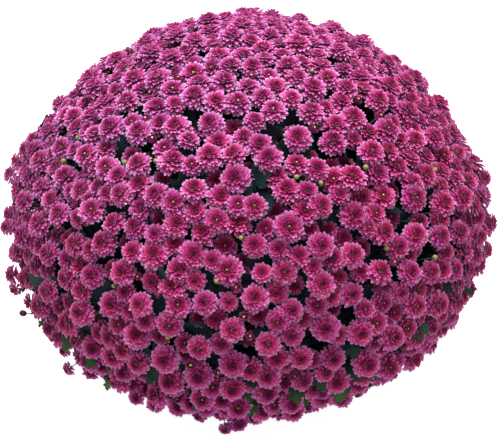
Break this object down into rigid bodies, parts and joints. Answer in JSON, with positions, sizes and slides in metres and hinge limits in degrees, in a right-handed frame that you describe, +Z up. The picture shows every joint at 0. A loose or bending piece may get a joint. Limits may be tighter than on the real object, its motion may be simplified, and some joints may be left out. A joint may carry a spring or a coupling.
{
  "type": "pot chrysanthemum",
  "caption": "Pot chrysanthemum: a dense round cushion of small double pink blooms on leafy branching stems, in a plain round clay pot of soil.",
  "frame": {"origin": "middle of the pot's flat underside, on the ground the pot stands on", "axes": "+Z up out of the pot; the plant looks much the same all round, and -Y is the side that the picture shows"},
  "size_m": [0.5927, 0.5931, 0.4586],
  "materials": {
    "petals": "matte",
    "greens": "matte",
    "clay": "matte",
    "potting_soil": "matte"
  },
  "bodies": {
    "root": {"leafy_stems": "greens", "pot": "clay", "soil": "potting_soil", "spray_01": "petals", "spray_02": "petals", "spray_03": "petals", "spray_04": "petals", "spray_05": "petals", "spray_06": "petals", "spray_07": "petals", "spray_08": "petals", "spray_09": "petals", "spray_10": "petals", "spray_11": "petals", "spray_12": "petals", "spray_13": "petals", "spray_14": "petals", "spray_15": "petals", "spray_16": "petals", "spray_17": "petals", "spray_18": "petals", "spray_19": "petals", "spray_20": "petals", "spray_21": "petals", "spray_22": "petals", "spray_23": "petals", "spray_24": "petals", "spray_25": "petals", "spray_26": "petals", "spray_27": "petals", "spray_28": "petals", "spray_29": "petals", "spray_30": "petals", "spray_31": "petals", "spray_32": "petals", "spray_33": "petals", "spray_34": "petals", "spray_35": "petals", "spray_36": "petals", "spray_37": "petals", "spray_38": "petals", "spray_39": "petals", "spray_40": "petals", "spray_41": "petals", "spray_42": "petals", "spray_43": "petals", "spray_44": "petals"}
  },
  "joints": []
}
